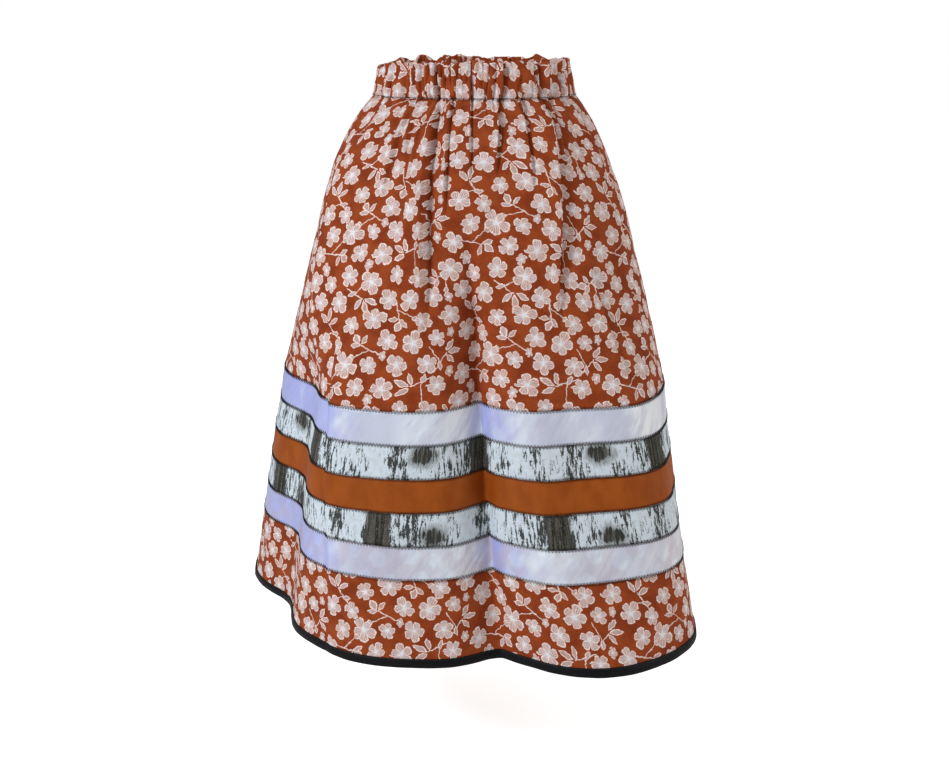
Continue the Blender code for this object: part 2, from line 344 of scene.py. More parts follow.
def cloth(bearings, heights):
    """Points of the skirt's outer face, an array of heights by bearings by three."""
    bearings, heights = np.asarray(bearings, float), np.asarray(heights, float)
    solid_bearings = -90.0 + 360.0 * np.arange(-3, SOLID_COLUMNS + 4) / SOLID_COLUMNS
    around = np.take(reaches, np.arange(-3, SOLID_COLUMNS + 4), axis=1, mode="wrap")
    wrapped = (bearings + 90.0) % 360.0 - 90.0
    rings = run_through(solid_bearings, around, wrapped)
    reach = run_through(-ring_heights, rings.T, -heights).T
    for crease in CREASES:
        reach -= crease_depth(crease, bearings, heights)
    letting_go = eased((heights + 0.085) / 0.060)
    round_waist = np.radians(bearings)
    for row in np.flatnonzero(letting_go > 0.0):
        places = [Vector((RUCHES * sin(a), RUCHES * cos(a), 9.0 * heights[row])) for a in round_waist]
        off_slit = np.abs(np.array([noise.noise(place) for place in places])) / SLIT_REACH
        reach[row] -= RUCHE * letting_go[row] * (1.0 - np.minimum(off_slit, 1.0)) ** SLIT_SHARPNESS
    off_seam = (bearings + 180.0) % 180.0 - 90.0
    reach -= SEAM_DIP * np.exp(-((off_seam / 0.7) ** 2))[None, :]
    reach -= STITCH_NIP * np.exp(-(((heights - CASING_FOOT) / 0.0035) ** 2))[:, None]
    angles = np.radians(bearings)[None, :]
    points = np.stack(
        [reach * np.sin(angles), -reach * np.cos(angles), np.repeat(heights[:, None], len(bearings), 1)], -1
    )
    for place in points.reshape(-1, 3):
        broad, fine = noise.noise(Vector(place) * 16.0), noise.noise(Vector(place) * 45.0)
        lift = DRAPE_WAVE * broad + 0.4 * DRAPE_WAVE * fine
        spread = hypot(place[0], place[1])
        place[:2] *= 1.0 + lift / spread
    return points


def ways_out(points):
    """The direction out of the cloth at each point of a grid that goes all the way round."""
    beside = np.roll(points, -1, axis=1) - np.roll(points, 1, axis=1)
    down = np.gradient(points, axis=0)
    out = np.cross(down, beside)
    return out / np.linalg.norm(out, axis=2, keepdims=True)


def lengths_along(points, closed):
    """Metres from the first column to each one, row by row."""
    if closed:
        points = np.concatenate([points, points[:, :1]], axis=1)
    steps = np.linalg.norm(np.diff(points, axis=1), axis=2)
    return np.concatenate([np.zeros((len(points), 1)), np.cumsum(steps, axis=1)], axis=1)


def drops_down(points):
    """Metres from the first row to each one, as the cloth runs, taken all along the rows."""
    return np.concatenate([[0.0], np.cumsum(np.linalg.norm(np.diff(points, axis=0), axis=2).mean(1))])


def settled(share, reach=16):
    """The shares evened out up and down the cloth, so that the print does not slant where gathers let go."""
    padded = np.pad(share, ((reach, reach), (0, 0)), mode="edge")
    running = np.cumsum(np.pad(padded, ((1, 0), (0, 0))), axis=0)
    return (running[2 * reach + 1:] - running[:-2 * reach - 1]) / (2 * reach + 1)


def woven(name, points, closed, across, down):
    """A sheet of quads through rows of points: map "cloth" is in metres, and "OFBake" counts the grid."""
    rows, columns = points.shape[:2]
    last = columns if closed else columns - 1
    column = np.arange(last)
    row = np.arange(rows - 1)[:, None]
    beside = (column + 1) % columns
    faces = np.stack(
        [
            row * columns + column,
            (row + 1) * columns + column,
            (row + 1) * columns + beside,
            row * columns + beside,
        ],
        -1,
    ).reshape(-1, 4)
    mesh = bpy.data.meshes.new(name)
    mesh.from_pydata(points.reshape(-1, 3).tolist(), [], faces.tolist())
    corner_row = (row[..., None] + np.array([0, 1, 1, 0]))[:, 0][:, None, :].repeat(last, 1)
    corner_column = (column[:, None] + np.array([0, 0, 1, 1]))[None].repeat(rows - 1, 0)
    cloth_map = np.stack([across[corner_row, corner_column], down[corner_row, corner_column]], -1)
    grid_map = np.stack([corner_column, corner_row], -1)
    mesh.uv_layers.new(name="cloth").data.foreach_set("uv", cloth_map.astype(np.float32).ravel())
    mesh.uv_layers.new(name="OFBake").data.foreach_set("uv", grid_map.astype(np.float32).ravel())
    mesh.shade_smooth()
    piece = bpy.data.objects.new(name, mesh)
    scene.collection.objects.link(piece)
    return piece


def thickened(piece, wall, inside_slot=0):
    bpy.ops.object.select_all(action="DESELECT")
    piece.select_set(True)
    bpy.context.view_layer.objects.active = piece
    shell = piece.modifiers.new("thickness", "SOLIDIFY")
    shell.thickness = wall
    shell.offset = -1.0
    shell.use_even_offset = False
    shell.material_offset = inside_slot
    bpy.ops.object.modifier_apply(modifier=shell.name)


def lay_out(piece, columns, rows, strips, outer_share):
    """Turns the grid counts of "OFBake" into strips of the outer face above strips of the inner one."""
    mesh = piece.data
    grid = np.zeros(len(mesh.loops) * 2, np.float32)
    mesh.uv_layers["OFBake"].data.foreach_get("uv", grid)
    grid = grid.reshape(-1, 2)
    face_of_loop = np.repeat(np.arange(len(mesh.polygons)), [len(face.vertices) for face in mesh.polygons])
    first_column = np.full(len(mesh.polygons), np.inf)
    np.minimum.at(first_column, face_of_loop, grid[:, 0])
    per_strip = columns / strips
    strip = np.minimum(first_column // per_strip, strips - 1)[face_of_loop]
    inside = face_of_loop >= columns * rows
    rim = face_of_loop >= 2 * columns * rows
    across = (grid[:, 0] - strip * per_strip) / per_strip
    down = grid[:, 1] / rows
    margin = 0.004
    band = np.where(inside, 0.97 - outer_share, outer_share) / strips
    foot = np.where(inside, 0.03 + strip * band, 1.0 - (strip + 1) * band)
    layout = np.stack(
        [margin + (1 - 2 * margin) * across, foot + margin + (band - 2 * margin) * (1.0 - down)], -1
    )
    edge = (face_of_loop - 2 * columns * rows) / max(1, len(mesh.polygons) - 2 * columns * rows)
    layout[rim] = np.stack([edge[rim], 0.01 + 0.005 * (grid[rim, 1] > 0)], -1)
    mesh.uv_layers["OFBake"].data.foreach_set("uv", layout.astype(np.float32).ravel())


# --- floral cotton panels ---------------------------------------------------------------------------------
# The body of the skirt is two flared panels of printed quilting cotton, front and back, sewn together down
# the sides and gathered at the top. The rust ground carries pale five-petalled flowers and sprigs.

PANEL_COLUMNS = 300
PANEL_ROWS = 160
COTTON = 0.0008


class Flow:
    """A socket of a material. Sums on values add Math nodes, and node() adds any other."""

    def __init__(self, tree, socket=None):
        self.tree = tree
        self.socket = socket

    def node(self, kind, settings=None, inputs=None, output=0):
        made = self.tree.nodes.new(kind)
        for name, value in (settings or {}).items():
            if name == "stops":
                ramp = made.color_ramp
                while len(ramp.elements) < len(value):
                    ramp.elements.new(0.5)
                for stop, (place, colour) in zip(ramp.elements, value):
                    stop.position = place
                    stop.color = (*colour, 1.0)
            else:
                setattr(made, name, value)
        for name, value in (inputs or {}).items():
            if isinstance(value, Flow):
                self.tree.links.new(value.socket, made.inputs[name])
            else:
                made.inputs[name].default_value = value
        return Flow(self.tree, made.outputs[output])

    def sum(self, operation, *values):
        return self.node("ShaderNodeMath", {"operation": operation}, dict(enumerate(values)))

    def __add__(self, other):
        return self.sum("ADD", self, other)

    __radd__ = __add__

    def __sub__(self, other):
        return self.sum("SUBTRACT", self, other)

    def __rsub__(self, other):
        return self.sum("SUBTRACT", other, self)

    def __mul__(self, other):
        return self.sum("MULTIPLY", self, other)

    __rmul__ = __mul__

    def __truediv__(self, other):
        return self.sum("DIVIDE", self, other)

    def __pow__(self, other):
        return self.sum("POWER", self, other)

    def __lt__(self, other):
        return self.sum("LESS_THAN", self, other)

    def vector(self, operation, *values, output=0):
        return self.node("ShaderNodeVectorMath", {"operation": operation}, dict(enumerate(values)), output)

    def rise(self, low, high):
        """0 below low, 1 above high, and eased between them; high may be the lower one."""
        if low < high:
            inputs = {0: self, 1: low, 2: high, 3: 0.0, 4: 1.0}
        else:
            inputs = {0: self, 1: high, 2: low, 3: 1.0, 4: 0.0}
        return self.node("ShaderNodeMapRange", {"interpolation_type": "SMOOTHSTEP"}, inputs)

    def axis(self, number):
        return self.node("ShaderNodeSeparateXYZ", None, {0: self}, number)


def mixed(share, first, second):
    """A colour between two, by share."""
    first = first if isinstance(first, Flow) else (*first, 1.0)
    second = second if isinstance(second, Flow) else (*second, 1.0)
    return share.node("ShaderNodeMix", {"data_type": "RGBA"}, {0: share, 6: first, 7: second}, 2)


def mixed_places(share, first, second):
    return share.node("ShaderNodeMix", {"data_type": "VECTOR"}, {0: share, 4: first, 5: second}, 1)


def new_material(name):
    material = bpy.data.materials.new(name)
    material.use_nodes = True
    return material, material.node_tree.nodes["Principled BSDF"], Flow(material.node_tree)


def fix(shader, **values):
    """Sets sockets that are the same all over, named with _ for their spaces."""
    for name, value in values.items():
        shader.inputs[name.replace("_", " ")].default_value = value


def feed(shader, name, flow):
    flow.tree.links.new(flow.socket, shader.inputs[name])


def cloth_place(flow):
    """The place on the cloth, in metres, from the piece's own map."""
    return flow.node("ShaderNodeUVMap", {"uv_map": "cloth"})


def noise_on(place, scale, detail=2.0, rough=0.5, stretch=(1.0, 1.0, 1.0)):
    spread = place.vector("MULTIPLY", place, (scale * stretch[0], scale * stretch[1], scale * stretch[2]))
    return place.node(
        "ShaderNodeTexNoise",
        {"noise_dimensions": "3D"},
        {"Vector": spread, "Scale": 1.0, "Detail": detail, "Roughness": rough},
    )


def bumped(flow, height, distance, strength=1.0, normal=None):
    inputs = {"Height": height, "Distance": distance, "Strength": strength}
    if normal is not None:
        inputs["Normal"] = normal
    return flow.node("ShaderNodeBump", None, inputs)


# The print's repeat, and its flowers: places and radius in mm across and down the repeat, the turn in
# degrees, and how slim a flower looks when it is drawn from the side.
REPEAT = (240.0, 200.0)
Flower = namedtuple("Flower", "across down radius turn slim")
FLOWERS = [Flower(*row) for row in (
    (18, 12, 18.3, 10, 1.0),
    (56, 20, 14.1, 50, 0.9),
    (92, 10, 15.8, 24, 1.0),
    (132, 20, 18.3, 65, 1.0),
    (171, 11, 14.1, 5, 0.85),
    (208, 20, 16.6, 33, 1.0),
    (34, 46, 14.9, 70, 1.0),
    (74, 48, 18.3, 18, 1.0),
    (158, 49, 14.9, 44, 1.0),
    (191, 50, 17.5, 12, 0.9),
    (229, 51, 14.1, 58, 1.0),
    (12, 80, 16.6, 30, 1.0),
    (98, 84, 15.8, 62, 1.0),
    (136, 76, 17.5, 8, 1.0),
    (211, 84, 15.8, 40, 1.0),
    (38, 108, 18.3, 55, 1.0),
    (74, 114, 14.1, 15, 0.85),
    (156, 110, 15.8, 36, 1.0),
    (192, 116, 18.3, 68, 1.0),
    (229, 112, 13.2, 20, 1.0),
    (54, 143, 15.8, 28, 1.0),
    (91, 142, 18.3, 48, 1.0),
    (128, 144, 14.1, 4, 1.0),
    (168, 146, 16.6, 60, 0.9),
    (212, 147, 14.9, 14, 1.0),
    (28, 172, 15.8, 38, 1.0),
    (108, 176, 14.9, 66, 1.0),
    (146, 180, 17.5, 22, 1.0),
    (224, 181, 16.6, 52, 0.9),
    # small ones, half open
    (44, 196, 10.8, 15, 0.80),
    (4, 163, 9.0, 47, 0.75),
    (10, 106, 8.8, 62, 0.70),
    (125, 194, 9.2, 31, 0.85),
    (12, 53, 8.6, 8, 0.75),
    (148, 132, 8.4, 55, 0.70),
)]
BLOOMS = [(f.across, f.down, f.radius * f.slim, f.radius, f.turn) for f in FLOWERS]
Sprig = namedtuple("Sprig", "across down size turn")
LEAFY = (Sprig(118, 44, 28, 0), Sprig(52, 80, 27, 205), Sprig(188, 180, 28, 130), Sprig(0, 136, 26, 280))
BUDDED = (Sprig(173, 80, 26, 30), Sprig(116, 112, 27, 160), Sprig(70, 176, 27, 320), Sprig(238, 24, 24, 90))

RUST_GROUND = (0.355, 0.065, 0.014)
RUST_DEEP = (0.250, 0.039, 0.008)
PETAL_LINE = (0.98, 0.82, 0.75)
PETAL_FILL = (0.57, 0.345, 0.285)
PETAL_COOL = (0.60, 0.43, 0.41)
PETAL_HEART = (0.82, 0.83, 0.88)


def nearest(place, marks):
    """The place within the nearest of some marks on the repeat, in its own size, with its turn in z."""
    best, best_distance = None, None
    for across, down, wide, high, turn in marks:
        middle = (across / REPEAT[0], down / REPEAT[1])
        spread = (REPEAT[0] / wide, REPEAT[1] / high)
        corner, far_corner = [(middle[0] + half, middle[1] + half, 0.0) for half in (-0.5, 0.5)]
        near = place.vector("WRAP", place, far_corner, corner)
        local = place.vector(
            "MULTIPLY_ADD",
            near,
            (spread[0], spread[1], 0.0),
            (-middle[0] * spread[0], -middle[1] * spread[1], radians(turn)),
        )
        distance = place.vector("DISTANCE", local, (0.0, 0.0, radians(turn)), output=1)
        if best is None:
            best, best_distance = local, distance
        else:
            best = mixed_places(distance < best_distance, best, local)
            best_distance = place.sum("MINIMUM", distance, best_distance)
    return best, best_distance


def leaf(place, base, turn, length, width):
    """How far out of a leaf a place is, 1 on its edge."""
    way = (cos(radians(turn)), sin(radians(turn)), 0.0)
    side = (-way[1], way[0], 0.0)
    middle = (base[0] + way[0] * length / 2, base[1] + way[1] * length / 2, 0.0)
    off = place.vector("SUBTRACT", place, middle)
    along = place.vector("DOT_PRODUCT", off, way, output=1) * (2.0 / length)
    across = place.vector("DOT_PRODUCT", off, side, output=1) * (2.0 / width)
    return along * along + place.sum("ABSOLUTE", across)


def stem(place, start, end, width):
    """How far off a straight stem a place is, 1 on its edge."""
    length = hypot(end[0] - start[0], end[1] - start[1])
    way = ((end[0] - start[0]) / length, (end[1] - start[1]) / length, 0.0)
    off = place.vector("SUBTRACT", place, (start[0], start[1], 0.0))
    reached = place.sum("MAXIMUM", place.vector("DOT_PRODUCT", off, way, output=1), 0.0)
    along = place.sum("MINIMUM", reached, length)
    side = place.vector("DOT_PRODUCT", off, (-way[1], way[0], 0.0), output=1)
    forward = place.vector("DOT_PRODUCT", off, way, output=1) - along
    return place.sum("SQRT", side * side + forward * forward) * (2.0 / width)


def about_z(place, angle):
    turning = {"Vector": place, "Angle": angle}
    return place.node("ShaderNodeVectorRotate", {"rotation_type": "Z_AXIS"}, turning)


def turned(place):
    """A place turned back by the angle that its z holds."""
    angle = place.axis(2)
    flat = place.vector("MULTIPLY", place, (1.0, 1.0, 0.0))
    return about_z(flat, 0.0 - angle)


def floral(name, reverse):
    """The print. Its reverse, inside the skirt, shows the same flowers faintly."""
    material, shader, flow = new_material(name)
    place = cloth_place(flow)
    wobble = place.vector("SUBTRACT", place.node(
        "ShaderNodeTexNoise", {"noise_dimensions": "2D"}, {"Vector": place, "Scale": 160.0, "Detail": 1.0}, 1
    ), (0.5, 0.5, 0.5))
    shaken = place.vector("MULTIPLY_ADD", wobble, (0.004, 0.004, 0.0), place)
    tile = place.vector("MULTIPLY", shaken, (1000.0 / REPEAT[0], -1000.0 / REPEAT[1], 0.0))

    bloom, reach = nearest(tile, BLOOMS)
    angle = flow.sum("ARCTAN2", bloom.axis(1), bloom.axis(0)) + bloom.axis(2)
    fifth = 2.0 * pi / 5.0
    count = angle / fifth + 20.5
    swing = (flow.sum("FRACT", count) - 0.5) * fifth
    this_petal = flow.sum("FLOOR", count) + bloom.axis(2) * 7.0
    petal_length = flow.node("ShaderNodeTexWhiteNoise", {"noise_dimensions": "1D"}, {"W": this_petal})
    drawn = reach * (petal_length * 0.36 + 0.90)
    along = drawn * flow.sum("COSINE", swing)
    across = drawn * flow.sum("SINE", swing)
    breadth = along * 0.38 + 0.155
    petal = flow.sum("SQRT", ((along - 0.55) / 0.47) ** 2.0 + flow.sum("ABSOLUTE", across / breadth) ** 2.0)
    veins = flow.sum("COSINE", across / (along + 0.18) * 30.0).rise(0.25, 1.0)
    heart = (reach + (1.0 - veins) * 0.30).rise(0.80, 0.18)
    edge = petal.rise(0.72, 0.88) * (noise_on(place, 70.0, 1.0).rise(0.32, 0.60) * 0.42 + 0.50)
    inside = petal.rise(1.03, 0.97)
    within = flow.sum("MAXIMUM", inside, reach.rise(0.26, 0.20))

    leafy, budded = [
        turned(nearest(tile, [(s.across, s.down, s.size, s.size, s.turn) for s in sprigs])[0])
        for sprigs in (LEAFY, BUDDED)
    ]
    leaves = [
        leaf(leafy, (0.05, 0.1), 78, 0.85, 0.34),
        leaf(leafy, (0.12, 0.02), 28, 0.78, 0.32),
        leaf(leafy, (-0.08, 0.02), 128, 0.72, 0.30),
        leaf(leafy, (-0.45, -0.35), 160, 0.55, 0.26),
        leaf(budded, (0.10, 0.05), 82, 0.62, 0.44),
        leaf(budded, (0.02, -0.05), 20, 0.66, 0.28),
        leaf(budded, (-0.02, -0.02), 150, 0.62, 0.28),
        leaf(budded, (0.62, -0.52), 15, 0.34, 0.36),
    ]
    leaf_edge = leaves[0]
    for other in leaves[1:]:
        leaf_edge = flow.sum("MINIMUM", leaf_edge, other)
    stems = [
        stem(leafy, (-1.05, -0.55), (0.0, 0.05), 0.062),
        stem(leafy, (-0.45, -0.30), (0.35, -0.95), 0.05),
        stem(budded, (-0.75, -0.95), (0.05, 0.0), 0.062),
        stem(budded, (-0.30, -0.50), (0.66, -0.50), 0.05),
    ]
    stem_edge = stems[0]
    for other in stems[1:]:
        stem_edge = flow.sum("MINIMUM", stem_edge, other)
    leaf_inside = leaf_edge.rise(1.05, 0.95)
    leaf_line = leaf_edge.rise(0.60, 0.78)
    stem_inside = stem_edge.rise(1.2, 0.8)

    patch = noise_on(place, 30.0, 3.0)
    ground = mixed(patch.rise(0.34, 0.68), RUST_GROUND, RUST_DEEP)
    fill = mixed(noise_on(place, 34.0, 2.0).rise(0.36, 0.62), PETAL_FILL, PETAL_COOL)
    sprig = mixed(leaf_line, fill, PETAL_LINE)
    colour = mixed(stem_inside * 0.8, ground, PETAL_LINE)
    colour = mixed(leaf_inside, colour, sprig)
    bloom_colour = mixed(veins * 0.66, fill, PETAL_LINE)
    bloom_colour = mixed(heart * 0.9, bloom_colour, PETAL_HEART)
    bloom_colour = mixed(edge, bloom_colour, PETAL_LINE)
    bloom_colour = mixed(reach.rise(0.20, 0.12), bloom_colour, PETAL_HEART)
    colour = mixed(within, colour, bloom_colour)
    if reverse:
        colour = mixed(noise_on(place, 220.0, 2.0) * 0.25 + 0.45, colour, (0.55, 0.34, 0.27))
    warp, weft = [noise_on(place, 900.0, 2.0, stretch=way) for way in ((1.0, 0.12, 1.0), (0.12, 1.0, 1.0))]
    slub = warp + weft
    worn = mixed((slub - 1.0).rise(-0.25, 0.35), (0.86, 0.86, 0.86), (1.10, 1.10, 1.10))
    multiply = {"data_type": "RGBA", "blend_type": "MULTIPLY"}
    colour = flow.node("ShaderNodeMix", multiply, {0: 1.0, 6: colour, 7: worn}, 2)
    feed(shader, "Base Color", colour)
    feed(shader, "Roughness", slub * 0.06 + 0.74)
    fix(shader, Sheen_Weight=0.03, Sheen_Roughness=0.5, Specular_IOR_Level=0.12)
    rumple = noise_on(place, 55.0, 3.0, 0.55)
    feed(shader, "Normal", bumped(flow, slub, 0.00012, 0.5, bumped(flow, rumple, 0.0016, 0.45)))
    return material


floral_face = floral("floral cotton", False)
floral_back = floral("floral cotton reverse", True)
panel_heights = np.linspace(CASING_FOOT, HEM, PANEL_ROWS + 1)
for name, first, node in (("front_panel", -90.0, "panel_front"), ("back_panel", 90.0, "panel_back")):
    bearings = first + 180.0 * np.arange(PANEL_COLUMNS + 1) / PANEL_COLUMNS
    points = cloth(bearings, panel_heights)
    along = lengths_along(points, False)
    share = settled(along / along[:, -1:])
    drop = drops_down(points)
    top_width = along[0, -1]
    spread = (along[-1, -1] - top_width) / drop[-1]  # the angle of the flare, in radians
    radius = top_width / spread + drop[:, None]
    turn = (share - 0.5) * spread
    cut_at = first * 0.01  # the two panels are cut from different places of the print
    piece = woven(name, points, False, radius * np.sin(turn) + cut_at, -radius * np.cos(turn))
    piece.data.materials.append(floral_face)
    piece.data.materials.append(floral_back)
    thickened(piece, COTTON, 1)
    lay_out(piece, PANEL_COLUMNS, PANEL_ROWS, 1, 0.72)
    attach(piece, "root")
    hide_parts(node)

# --- waist casing -----------------------------------------------------------------------------------------
# The panels' own tops, turned in over a two-inch elastic and stitched down in black along the casing's foot.
# The elastic draws the doubled cotton up into uneven gathers, with a ruffled fold along the top.

CASING_COLUMNS = 720
CASING_FACE_ROWS = 14
CASING_WALL = 0.0032
TOP_RUFFLE = 0.0080
RIM_SINKS = 0.004
RIM_DIP = 0.0105  # how much lower the rim lies on the wearer's right, and where
RIM_DIP_PLACE = -0.165
RIM_DIP_WIDTH = 0.055
CASING_PRINT = (0.9, 1.31)  # where on the print it is cut, in metres

face_heights = np.linspace(CASING_TOP - 0.0016, CASING_FOOT, CASING_FACE_ROWS)
face = cloth(all_round(CASING_COLUMNS), face_heights)
face_out = ways_out(face)
swell = np.sin(np.linspace(0.12, 1.0, CASING_FACE_ROWS) * pi) ** 0.6
face = face + face_out * (0.0010 * swell)[:, None, None]
inner = face - face_out * CASING_WALL
fold = []
for quarter in (0.0, 45.0, 90.0, 135.0, 180.0):
    side = (1.0 - cos(radians(quarter))) / 2.0
    ring = face[0] * (1.0 - side) + inner[0] * side
    ring[:, 2] += 0.0016 * sin(radians(quarter))
    fold.append(ring)
rows = np.concatenate([inner[::-1], np.array(fold[::-1])[1:-1], face], axis=0)
off_dip = (face[0, :, 0] - RIM_DIP_PLACE) / RIM_DIP_WIDTH
slump = RIM_SINKS + RIM_DIP * np.exp(-(off_dip**2))
for ring in rows:
    for point, sunk in zip(ring, slump):
        upper = max(0.0, (point[2] - 0.010) / 0.020)
        rise = TOP_RUFFLE * noise.noise(Vector((point[0] * 55.0, point[1] * 55.0, 3.0)))
        point[2] += upper * rise - sunk * (point[2] - CASING_FOOT) / (CASING_TOP - CASING_FOOT)
casing_along = lengths_along(rows, True)
casing_share = settled(casing_along / casing_along[:, -1:])
casing_drop = drops_down(rows)
casing_across = casing_share * casing_along[:, -1].mean() - CASING_PRINT[0]
casing_down = np.repeat(-casing_drop[:, None] - CASING_PRINT[1], CASING_COLUMNS + 1, 1)
casing = woven("gathered_casing", rows, True, casing_across, casing_down)
casing.data.materials.append(floral_face)
lay_out(casing, CASING_COLUMNS, len(rows) - 1, 12, 0.97)
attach(casing, "root")
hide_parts("waist_casing")

# --- ribbons ----------------------------------------------------------------------------------------------
# Five two-inch ribbons lie edge to edge round the skirt: white satin, birch-bark print, plain rust sateen,
# birch again and satin again. Each goes all the way round and is sewn down along both its edges.

RIBBON_COLUMNS = 600
RIBBON_ROWS = 12
RIBBON_LIFT = 0.0011


def satin_material(name, sheer):
    """White satin, its colour painted with light and shade: patches of painted sheen, a painted violet
    reflection where it faces the wearer's right, a painted highlight where it faces their left, and painted
    shade along soft folds. A sheer ribbon lets the flowers under it show faintly.
    """
    material, shader, flow = new_material(name)
    place = cloth_place(flow)
    # Which way the satin faces in the world, read from its normal, paints its colour below.
    facing = flow.node("ShaderNodeNewGeometry", None, None, 1)
    aside = flow.vector("DOT_PRODUCT", facing, (-0.93, -0.30, 0.20), output=1)
    ripple = noise_on(place, 42.0, 3.0, 0.5, (1.0, 0.55, 1.0))
    cool = (aside + (ripple - 0.5) * 0.45).rise(0.56, 0.98)
    # Painted sheen: broad patches of the satin's colour are painted brighter or duller, as its gloss shows
    # them.
    sweep = noise_on(place, 7.0, 1.0, 0.5, (1.0, 0.2, 1.0)).rise(0.36, 0.62)
    slant = about_z(place, 0.7)
    fold = noise_on(slant, 24.0, 3.0, 0.55, (1.6, 0.5, 1.0)).rise(0.40, 0.64)
    painted_sheen = mixed(sweep, (0.58, 0.62, 0.74), (0.84, 0.91, 0.98))
    # Painted highlight: where the satin faces the wearer's left, its colour is painted whiter.
    painted_sheen = mixed(aside.rise(0.12, -0.30) * 0.55, painted_sheen, (0.96, 0.98, 1.0))
    # Painted shade: the colour is darker lilac along the soft diagonal folds, whose noise also raises the
    # bump below.
    colour = mixed(fold * 0.6, painted_sheen, (0.56, 0.55, 0.70))
    # Painted reflection: the colour is violet where the satin faces the wearer's right, as if it reflected
    # cool surroundings.
    colour = mixed(cool * 0.85, colour, (0.36, 0.40, 0.80))
    if sheer:
        tile = place.vector("MULTIPLY", place, (1000.0 / REPEAT[0], -1000.0 / REPEAT[1], 0.0))
        bloom, reach = nearest(tile, BLOOMS)
        lobes = flow.sum("COSINE", (flow.sum("ARCTAN2", bloom.axis(1), bloom.axis(0)) + bloom.axis(2)) * 5.0)
        between = (reach - lobes * 0.07 + (ripple - 0.5) * 0.5).rise(0.62, 0.96)
        below = noise_on(place, 14.0, 1.0).rise(0.30, 0.56)
        colour = mixed(between * (below * 0.22 + 0.10), colour, (0.50, 0.38, 0.44))
    feed(shader, "Base Color", colour)
    grain = noise_on(place, 1500.0, 1.0, stretch=(0.06, 1.0, 1.0))
    feed(shader, "Roughness", grain * 0.10 + 0.30)
    fix(shader, Specular_IOR_Level=0.5, Sheen_Weight=0.1, Sheen_Roughness=0.35, Anisotropic=0.5)
    waves = bumped(flow, ripple + fold * 0.35, 0.0034, 0.8)
    feed(shader, "Normal", bumped(flow, grain, 0.00006, 0.35, waves))
    return material


BIRCH_REPEAT = 0.305
BIRCH_GROUND = (0.68, 0.76, 0.83)
BIRCH_SHADE = (0.60, 0.67, 0.71)
BARK_DARK = (0.022, 0.022, 0.017)
BARK_GREY = (0.095, 0.088, 0.070)


def birch_material(name, knot_across, knot_down):
    """Birch bark: pale, with upright dashes, a dark band once a repeat, and a knot beside it."""
    material, shader, flow = new_material(name)
    place = cloth_place(flow)
    across, down = place.axis(0), place.axis(1)
    speckle = noise_on(place, 620.0, 2.0, 0.6, (1.0, 0.5, 1.0))
    dashes = noise_on(place, 270.0, 2.0, 0.55, (1.0, 0.17, 1.0))
    clumps = noise_on(place, 90.0, 2.0, 0.6, (1.0, 0.34, 1.0))
    crowding = noise_on(place, 24.0, 1.0, 0.5, (1.0, 0.04, 1.0))
    from_band = (flow.sum("FRACT", across / BIRCH_REPEAT + 40.5) - 0.5) * BIRCH_REPEAT
    off_band = flow.sum("ABSOLUTE", from_band)
    beside_band = off_band.rise(0.040, 0.014)
    bark = dashes * 0.46 + clumps * 0.32 + speckle * 0.22 + (crowding - 0.5) * 0.34 + beside_band * 0.075
    dark = bark.rise(0.538, 0.556)
    grey = bark.rise(0.502, 0.536)
    knot_turn = flow.sum("FRACT", across / BIRCH_REPEAT + 40.5 - knot_across / BIRCH_REPEAT)
    from_knot = (knot_turn - 0.5) * BIRCH_REPEAT
    knot_off = flow.sum("SQRT", (from_knot / 0.0155) ** 2.0 + ((down - knot_down) / 0.0130) ** 2.0)
    ragged = knot_off + (clumps - 0.5) * 2.0 + (dashes - 0.5) * 1.6
    knot, halo = ragged.rise(1.10, 0.75), ragged.rise(1.75, 1.05)
    band = (off_band + (dashes - 0.5) * 0.034 + (speckle - 0.5) * 0.014).rise(0.0190, 0.0155)
    grooves = noise_on(place, 260.0, 2.0, 0.7, (1.0, 0.05, 1.0)) + (speckle - 0.5) * 0.30
    light = mixed(noise_on(place, 110.0, 3.0).rise(0.35, 0.75), BIRCH_GROUND, BIRCH_SHADE)
    colour = mixed(grey * 0.50, light, (0.26, 0.28, 0.27))
    colour = mixed(dark * 0.92, colour, BARK_DARK)
    banded = mixed(grooves.rise(0.46, 0.55), BARK_GREY, BARK_DARK)
    banded = mixed(speckle.rise(0.64, 0.70) * 0.6, banded, BIRCH_SHADE)
    colour = mixed(band, colour, banded)
    colour = mixed(halo * 0.6, colour, (0.16, 0.165, 0.15))
    colour = mixed(knot * 0.95, colour, mixed(dashes.rise(0.46, 0.60), BARK_DARK, BARK_GREY))
    feed(shader, "Base Color", colour)
    weave = noise_on(place, 1100.0, 1.0)
    feed(shader, "Roughness", weave * 0.1 + 0.72)
    fix(shader, Specular_IOR_Level=0.15)
    rumple = noise_on(place, 60.0, 3.0)
    feed(shader, "Normal", bumped(flow, weave, 0.0001, 0.4, bumped(flow, rumple, 0.0013, 0.4)))
    return material


def sateen_material():
    material, shader, flow = new_material("rust sateen")
    place = cloth_place(flow)
    ripple = noise_on(place, 38.0, 3.0, 0.5, (1.0, 0.6, 1.0))
    colour = mixed(ripple.rise(0.3, 0.7), (0.360, 0.082, 0.008), (0.290, 0.058, 0.004))
    weave = noise_on(place, 1200.0, 1.0, stretch=(0.15, 1.0, 1.0))
    colour = mixed(weave.rise(0.4, 0.8) * 0.2, colour, (0.44, 0.12, 0.02))
    feed(shader, "Base Color", colour)
    feed(shader, "Roughness", weave * 0.1 + 0.48)
    fix(shader, Specular_IOR_Level=0.14)
    feed(shader, "Normal", bumped(flow, weave, 0.00008, 0.4, bumped(flow, ripple, 0.0016, 0.4)))
    return material


